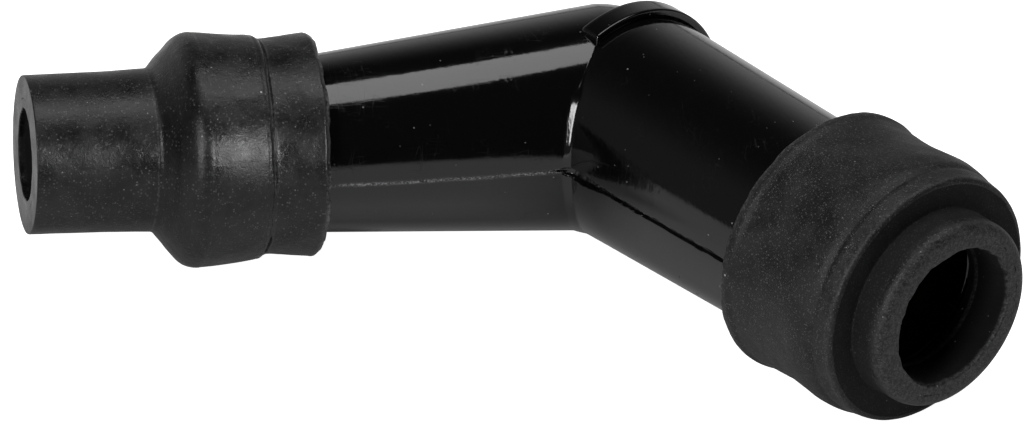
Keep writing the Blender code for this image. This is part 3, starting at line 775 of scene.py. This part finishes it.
def cutPartingLine(mesh):
    # the mould's split line. On the plug arm's inner side points move in by depth within half of the
    # groove's middle, and both widen by chipWidth*exp(-((place - chipPlace)/chipSpread)^2), the chip
    # at the crease. It ends in a wedge on the cable arm, and from there the flash stands out by
    # flashHeight*exp(-(up/flashWidth)^2).
    s = elbowShape
    points = vertexArray(mesh)
    plugAlong, plugUp, plugSide = armCoords(plugArm, points)
    cableAlong, cableUp, cableSide = armCoords(cableArm, points)
    onPlug = (np.abs(plugGap(points)) < 0.35) & (plugSide > 0.0) & (plugAlong > -0.5)
    onCable = (np.abs(cableGap(points)) < 0.35) & (cableSide < 0.0) & ~onPlug
    level = np.zeros_like(plugAlong)

    wander = 0.03 * softNoise(11, plugAlong, level, 1.1, 1)
    ragged = 0.5 + 0.5 * softNoise(15, plugAlong, np.sign(plugUp) * 0.7, 0.28, 9, 3)
    chip = bell(plugAlong, s["chipPlace"], s["chipSpread"])
    ragged = ragged * (1.0 - 0.75 * chip)
    opening = s["chipWidth"] * chip
    half = s["groove"] + s["ragged"] * ragged + opening
    depth = s["grooveDepth"] + s["raggedDepth"] * ragged + s["chipDepth"] * opening
    cut = 1.0 - ease(np.abs(plugUp - wander), 0.55 * half, half + 0.05)
    cut = np.where(onPlug, cut, 0.0)
    points -= (cut * depth)[:, None] * mm * plugArm["side"]

    beyond = np.clip(plugGap(points), 0.0, None)
    wedge = s["wedgeWidth"] * np.clip(1.0 - beyond / s["wedgeLength"], 0.0, None)
    wedge = wedge * (0.6 + 0.5 * ragged)
    notch = 1.0 - ease(np.abs(cableUp - 0.05), 0.5 * wedge, wedge + 0.03)
    notch = notch * (wedge > 0.02) * onCable
    points += (notch * s["wedgeDepth"])[:, None] * mm * cableArm["side"]

    wave = 0.04 * softNoise(21, cableAlong, level, 2.2, 1)
    gritty = 0.5 + 0.5 * softNoise(23, cableAlong, level, 0.4, 5, 2)
    flash = np.where(onCable, bell(cableUp, wave, s["flashWidth"]) * (1.0 - notch), 0.0)
    points -= (flash * s["flashHeight"] * gritty)[:, None] * mm * cableArm["side"]
    setVertices(mesh, points)
    markPoints(mesh, "parting", flash)


def makeElbow():
    s = elbowShape
    mesh = gridMesh("elbow_moulding", cableArmSkin(), closed=False)
    piece = addPiece("elbow_moulding", mesh, phenolic)
    carve(piece, gridMesh("collar_skin", collarSkin(), closed=False), "UNION")
    carve(piece, gridMesh("plug_arm_skin", plugArmSkin(), closed=False), "UNION")
    print("arms joined", len(piece.data.vertices))
    near = roundCrease(piece.data)
    cutPartingLine(piece.data)
    cableBore = boreSkin(cableArm, s["cableBore"])
    plugBore = boreSkin(plugArm, s["plugBore"])
    carve(piece, gridMesh("cable_bore", cableBore, closed=False), "DIFFERENCE")
    carve(piece, gridMesh("plug_bore", plugBore, closed=False), "DIFFERENCE")
    piece.data.shade_smooth()
    piece.data.set_sharp_from_angle(angle=math.radians(38.0))
    paint(piece.data, phenolic)
    standFor(piece, "body")
    print("elbow", len(piece.data.vertices), "points,", int(near.sum()), "in the crease")


# Cable seal

cableSealShape = {
    # corners of the outline in mm: place along the arm, radius, rounding, row spacing
    "outline": [
        (25.0, 6.76, 0.04, 0.3), (25.0, 7.75, 0.04, 0.09), (25.12, 8.22, 0.10, 0.06),
        (25.45, 8.46, 0.12, 0.06), (26.6, 8.34, 0.5, 0.12), (28.0, 8.18, 0.4, 0.12),
        (29.05, 8.13, 0.06, 0.05), (29.62, 8.46, 0.14, 0.05), (30.8, 8.56, 0.5, 0.13),
        (32.6, 8.74, 0.6, 0.13), (35.1, 8.97, 1.05, 0.09), (37.42, 6.16, 0.22, 0.09),
        (39.2, 6.10, 0.4, 0.16), (41.0, 6.03, 0.5, 0.20), (46.87, 5.98, 0.10, 0.06),
        (46.87, 3.40, 0.08, 0.06), (45.6, 3.40, 0.0, 0.6), (34.7, 3.40, 0.0, 0.9),
        (34.7, 7.20, 0.0, 0.9), (29.3, 7.20, 0.0, 0.6), (29.3, 6.40, 0.0, 0.6),
        (28.3, 6.40, 0.0, 0.5), (28.3, 6.80, 0.0, 0.8),
    ],
    "columns": 324,
    "lean": 0.12, "sag": 0.16,  # how far skirt and bulge sit towards the inner side
    "stepPlace": 29.45, "stepSlide": 0.16, "stepDepth": 0.05, "tearPlace": 29.33, "tearDepth": 0.30,
    "lumps": 0.05, "ringDepth": 0.03, "rimCut": 0.10, "noseWaves": 0.03, "boreRagged": 0.10,
    "nibPlace": 46.6, "nibTurn": math.radians(91.0), "nibHeight": 0.30,
}


def makeCableSeal():
    # the outline turned round the arm: point(place, angle). Noise round the arm slides the step
    # along and digs in where it is torn, the skin is lowered by lumps, waves and mould rings, and
    # the axis is shifted by -(lean + sag*ease(place)) under the bulge and the skirt.
    s = cableSealShape
    place, radius = roundedLine(s["outline"])
    angle = np.arange(s["columns"]) / s["columns"] * turn
    place, angle = np.meshgrid(place, angle, indexing="ij")
    radius = np.broadcast_to(radius[:, None], place.shape).copy()
    outside = radius > 7.6
    # the moulded step wanders and tears
    stepZone = bell(place, s["stepPlace"], 0.9) * outside
    slide = s["stepSlide"] * softNoise(31, 0.0 * place, angle, 1.0, 9, 4)
    tear = ease(softNoise(37, 0.0 * place, angle, 1.0, 14, 3), -0.35, 0.75)
    place = place + slide * stepZone
    dug = bell(place - slide, s["tearPlace"], 0.12) * outside
    radius -= (s["stepDepth"] + s["tearDepth"] * tear) * dug
    # bulge: lumpy skin and two faint mould rings
    lumps = softNoise(41, place, angle, 2.6, 16, 3)
    radius -= s["lumps"] * np.abs(lumps) * ease(radius, 7.4, 8.4)
    radius -= s["ringDepth"] * (bell(place, 34.0, 0.08) + bell(place, 29.75, 0.12)) * outside
    # rim: uneven trimmed edge
    rim = bell(place, 25.0, 0.5) * (radius > 7.2)
    place = place - s["rimCut"] * softNoise(51, 0.0 * place, angle, 1.0, 40, 4) * rim
    # nose: slight waves, a ragged bore edge and a nib of flash beside its end
    waves = np.abs(softNoise(61, place, angle, 3.0, 8, 2))
    radius -= s["noseWaves"] * waves * ((place > 37.6) & (radius > 5.0))
    mouth = bell(place, 46.87, 0.5) * (radius < 4.2)
    uneven = softNoise(67, place, angle, 1.2, 22, 3) + np.sin(2.0 * angle + 0.4)
    radius += s["boreRagged"] * uneven * mouth
    nib = bell(place, s["nibPlace"], 0.22) * bell(angleFrom(angle, s["nibTurn"]), 0.0, 0.05)
    radius += s["nibHeight"] * nib * (radius > 5.5)
    # bulge and skirt sit off the arm's axis, towards the inner side
    sag = s["lean"] + s["sag"] * ease(place, 28.5, 31.5)
    shift = -sag * (1.0 - ease(place, 35.6, 37.4)) * ease(radius, 6.9, 7.6)
    mesh = gridMesh("cable_seal_skin", armPoints(cableArm, place, angle, radius, shift))
    # worn: the trimmed rim, the torn step and the foot of the nose
    wearAndHighlight = 0.9 * bell(place, 25.05, 0.25) * (radius > 7.6)
    wearAndHighlight += 0.8 * tear * bell(place - slide, s["tearPlace"], 0.20) * outside
    wearAndHighlight += 0.5 * bell(place, 37.75, 0.06) * (radius < 6.6)
    markPoints(mesh, "wearAndHighlight", wearAndHighlight)
    # painted shade: the bore behind the mouth goes dark
    markPoints(mesh, "inside", (radius < 4.4) * ease(-place, -46.7, -46.2))
    piece = addPiece("cable_seal_skin", mesh, cableRubber)
    standFor(piece, "cable_seal")


# Plug seal

plugSealShape = {
    # corners of the outline in mm: place along the arm, radius, rounding, row spacing
    "outline": [
        (20.5, 8.36, 0.04, 0.3), (20.5, 10.12, 0.12, 0.07), (20.78, 10.36, 0.10, 0.06),
        (21.35, 10.38, 0.14, 0.07), (21.75, 10.22, 0.2, 0.08), (23.0, 10.10, 0.6, 0.14),
        (25.2, 10.01, 0.9, 0.18), (27.0, 10.18, 0.8, 0.18), (28.6, 10.33, 0.8, 0.14),
        (29.85, 10.18, 0.30, 0.09), (30.30, 9.92, 0.16, 0.06), (30.62, 9.98, 0.14, 0.06),
        (31.3, 9.85, 0.20, 0.08), (32.0, 9.78, 0.42, 0.06), (32.0, 7.48, 0.10, 0.08),
        (34.9, 7.48, 1.00, 0.07), (34.9, 5.50, 0.14, 0.05), (34.3, 5.40, 0.2, 0.09),
        (31.8, 5.41, 0.05, 0.12), (31.5, 5.27, 0.05, 0.06), (30.92, 5.26, 0.05, 0.3),
        (30.92, 8.40, 0.0, 0.6), (29.6, 8.40, 0.0, 0.5), (29.1, 8.90, 0.0, 0.5),
        (26.3, 8.90, 0.0, 0.6), (25.8, 8.50, 0.0, 0.9),
    ],
    "columns": 344, "lumps": 0.05, "lipCut": 0.06, "mouthRagged": 0.13, "mouthWaves": 0.05,
}


def makePlugSeal():
    # the outline turned round the arm: point(place, angle). Noise lowers the barrel in lumps, cuts
    # the lip unevenly, and makes the mouth's radius ragged with mouthWaves*sin(3*angle) in it.
    s = plugSealShape
    place, radius = roundedLine(s["outline"])
    angle = np.arange(s["columns"]) / s["columns"] * turn
    place, angle = np.meshgrid(place, angle, indexing="ij")
    radius = np.broadcast_to(radius[:, None], place.shape).copy()
    lumps = np.abs(softNoise(71, place, angle, 3.0, 14, 3))
    radius -= s["lumps"] * lumps * (radius > 9.0)
    lip = bell(place, 20.6, 0.35) * (radius > 9.6)
    place = place - s["lipCut"] * softNoise(73, 0.0 * place, angle, 1.0, 60, 3) * lip
    neckFront = bell(place, 34.9, 0.8) * (radius < 6.3)
    ragged = s["mouthRagged"] * softNoise(79, 0.3 * place, angle, 1.0, 36, 3)
    radius += (ragged + s["mouthWaves"] * np.sin(3.0 * angle)) * neckFront
    mesh = gridMesh("plug_seal_skin", armPoints(plugArm, place, angle, radius))
    # worn edges and painted highlights: trimmed lip and mouth's edge, painted highlights on the neck's
    # foot, on the ring deep in the bore and on the flange's edge, and the neck's front face lighter
    # painted highlight: the thin light ring deep in the bore
    ring = bell(place, 31.65, 0.13) * bell(radius, 5.36, 0.10)
    wearAndHighlight = 0.9 * bell(place, 20.6, 0.35) * (radius > 9.9)
    wearAndHighlight += 0.7 * bell(place, 34.7, 0.3) * bell(radius, 5.5, 0.22)
    # painted highlight on the fillet at the neck's foot
    wearAndHighlight += 0.5 * bell(place, 32.0, 0.05) * bell(radius, 7.55, 0.08)
    wearAndHighlight += 2.0 * ring
    wearAndHighlight += 0.5 * ease(place, 34.0, 34.7) * ease(radius, 5.5, 5.8)
    # painted highlight on the flange's rounded edge
    wearAndHighlight += 0.35 * bell(place, 31.7, 0.35) * ease(radius, 9.5, 9.7)
    markPoints(mesh, "wearAndHighlight", wearAndHighlight)
    # inside: painted shade, black in the bore and darker on the flange's face and the neck's side
    face = bell(place, 32.0, 0.10) * (radius < 9.4) * (radius > 7.3)
    side = bell(radius, 7.48, 0.05) * ease(-place, -34.0, -33.4) * (place > 31.9)
    bore = (radius < 6.0) * ease(-place, -34.75, -34.45) * (1.0 - ring)
    markPoints(mesh, "inside", bore + 0.65 * np.maximum(face, side))
    piece = addPiece("plug_seal_skin", mesh, plugRubber)
    standFor(piece, "plug_seal")


makeElbow()
makeCableSeal()
makePlugSeal()
print("pieces made")


# Floor, lights and camera

studio = {
    "strip": {"low": (-0.14, -0.074), "high": (0.34, 0.185), "height": 0.50, "radiance": 3.9},
    "key": {"at": (-0.301, -0.323, 0.235), "size": (0.10, 0.31), "radiance": 16.0},
    "spot": {"at": (0.178, -0.324, 0.189), "size": (0.05, 0.07), "radiance": 140.0},
    "floorReach": 6.0, "floorGlow": 1.0, "fill": 0.10, "dim": 0.02, "leftWall": 0.12, "backWall": 0.42,
}


def areaLight(name, location, target, size, radiance):
    # power = radiance * pi * area
    data = bpy.data.lights.new(name, "AREA")
    data.shape = "RECTANGLE"
    data.size, data.size_y = size
    data.energy = radiance * math.pi * size[0] * size[1]
    lamp = bpy.data.objects.new(name, data)
    lamp.location = location
    lamp.rotation_euler = (Vector(target) - Vector(location)).to_track_quat("-Z", "Y").to_euler()
    lamp.visible_camera = False
    bpy.context.scene.collection.objects.link(lamp)
    return lamp


def makeFloor():
    # a very wide sheet; to the camera it also glows, so only the contact shadow is left on it
    mesh = bpy.data.meshes.new("floor")
    r = studio["floorReach"]
    corners = [(-r, -r, 0.0), (r, -r, 0.0), (r, r, 0.0), (-r, r, 0.0)]
    mesh.from_pydata(corners, [], [(0, 1, 2, 3)])
    material, tree, shader = newMaterial("White table")
    shader.inputs["Base Color"].default_value = (0.86, 0.86, 0.86, 1.0)
    shader.inputs["Roughness"].default_value = 0.9
    shader.inputs["Specular IOR Level"].default_value = 0.0
    path = addNode(tree, "ShaderNodeLightPath")
    shader.inputs["Emission Color"].default_value = (1.0, 1.0, 1.0, 1.0)
    tree.links.new(mathNode(tree, "MULTIPLY", path.outputs["Is Camera Ray"], studio["floorGlow"]),
                   shader.inputs["Emission Strength"])
    floor = addPiece("floor", mesh, material)


def makeWorld():
    # white for the camera and a little even fill for matt surfaces. The gloss sees a dark room,
    # a pale wall behind that fades out upwards and a dimmer one to the left.
    s = studio
    world = bpy.data.worlds.new("Studio")
    bpy.context.scene.world = world
    world.use_nodes = True
    tree = world.node_tree
    background = tree.nodes["Background"]
    path = addNode(tree, "ShaderNodeLightPath")
    coords = addNode(tree, "ShaderNodeTexCoord")
    split = addNode(tree, "ShaderNodeSeparateXYZ")
    tree.links.new(coords.outputs["Generated"], split.inputs[0])
    x, y, z = split.outputs
    left = mathNode(tree, "MULTIPLY", rangeNode(tree, x, -0.15, -0.60),
                    rangeNode(tree, z, 0.80, 0.40, 0.0, s["leftWall"]))
    back = mathNode(tree, "MULTIPLY", rangeNode(tree, y, 0.30, 0.80),
                    rangeNode(tree, z, 0.80, 0.15, 0.0, s["backWall"]))
    walls = mathNode(tree, "ADD", mathNode(tree, "ADD", left, back), s["dim"])
    glossy = mathNode(tree, "MULTIPLY", path.outputs["Is Glossy Ray"], walls)
    fill = mathNode(tree, "MULTIPLY", path.outputs["Is Diffuse Ray"], s["fill"])
    seen = mathNode(tree, "ADD", path.outputs["Is Camera Ray"], mathNode(tree, "ADD", glossy, fill))
    background.inputs["Color"].default_value = (1.0, 1.0, 1.0, 1.0)
    tree.links.new(seen, background.inputs["Strength"])


def makeLights():
    s = studio["strip"]
    low, high = s["low"], s["high"]
    size = (high[0] - low[0], high[1] - low[1])
    middle = (0.5 * (low[0] + high[0]), 0.5 * (low[1] + high[1]))
    strip = areaLight("overhead_strip", (*middle, s["height"]), (*middle, 0.0), size, s["radiance"])
    strip.rotation_euler = (0.0, 0.0, 0.0)
    # tall softbox to the left front; it makes the bright streak in the crease
    key = studio["key"]
    areaLight("left_key", key["at"], (0.0, 0.0, 0.01), key["size"], key["radiance"])
    # soft spot for the cable seal alone, flagged off the gloss
    spot = studio["spot"]
    lamp = areaLight("seal_spot", spot["at"], (-0.02, 0.0, 0.01), spot["size"], spot["radiance"])
    lit = bpy.data.collections.new("lit by the seal spot")
    lit.objects.link(bpy.data.objects["cable_seal_skin"])
    lamp.light_linking.receiver_collection = lit


viewAngle = {
    "azimuth": -13.876, "elevation": 28.28, "roll": 4.396, "distance": 0.7576,
    # focal length, picture size and the elbow's place in it, in pixels
    "focal": 10000.0, "width": 1024.0, "height": 427.0, "elbowAt": (636.8, 130.4),
}


def makeCamera():
    v = viewAngle
    azimuth, elevation, roll = (math.radians(v[key]) for key in ("azimuth", "elevation", "roll"))
    # the bend plane's own axes: x from the cable arm to the elbow, z out of the plane
    xAxis = Vector(-cableAxis)
    zAxis = Vector(upAxis)
    plane = Matrix((xAxis, zAxis.cross(xAxis), zAxis)).transposed()
    back = plane @ Vector((math.sin(azimuth) * math.cos(elevation),
                           -math.cos(azimuth) * math.cos(elevation), math.sin(elevation)))
    level = plane @ Vector((math.cos(azimuth), math.sin(azimuth), 0.0))
    right = level * math.cos(roll) + back.cross(level) * math.sin(roll)
    facing = Matrix((right, back.cross(right), back)).transposed()
    # swing the camera so that the elbow's centre falls on its place in the picture
    across, down = v["elbowAt"]
    toElbow = Vector((across - 0.5 * v["width"], 0.5 * v["height"] - down, -v["focal"]))
    swing = toElbow.normalized().rotation_difference(Vector((0.0, 0.0, -1.0))).to_matrix()
    data = bpy.data.cameras.new("camera")
    data.sensor_width = 36.0
    data.lens = v["focal"] / v["width"] * 36.0
    camera = bpy.data.objects.new("camera", data)
    place = Matrix.Translation(Vector(elbow) + back * v["distance"])
    camera.matrix_world = place @ (facing @ swing).to_4x4()
    bpy.context.scene.collection.objects.link(camera)
    bpy.context.scene.camera = camera


makeFloor()
makeWorld()
makeLights()
makeCamera()
bpy.context.scene.view_settings.view_transform = "Standard"
print("stage made")

bpy.context.view_layer.update()
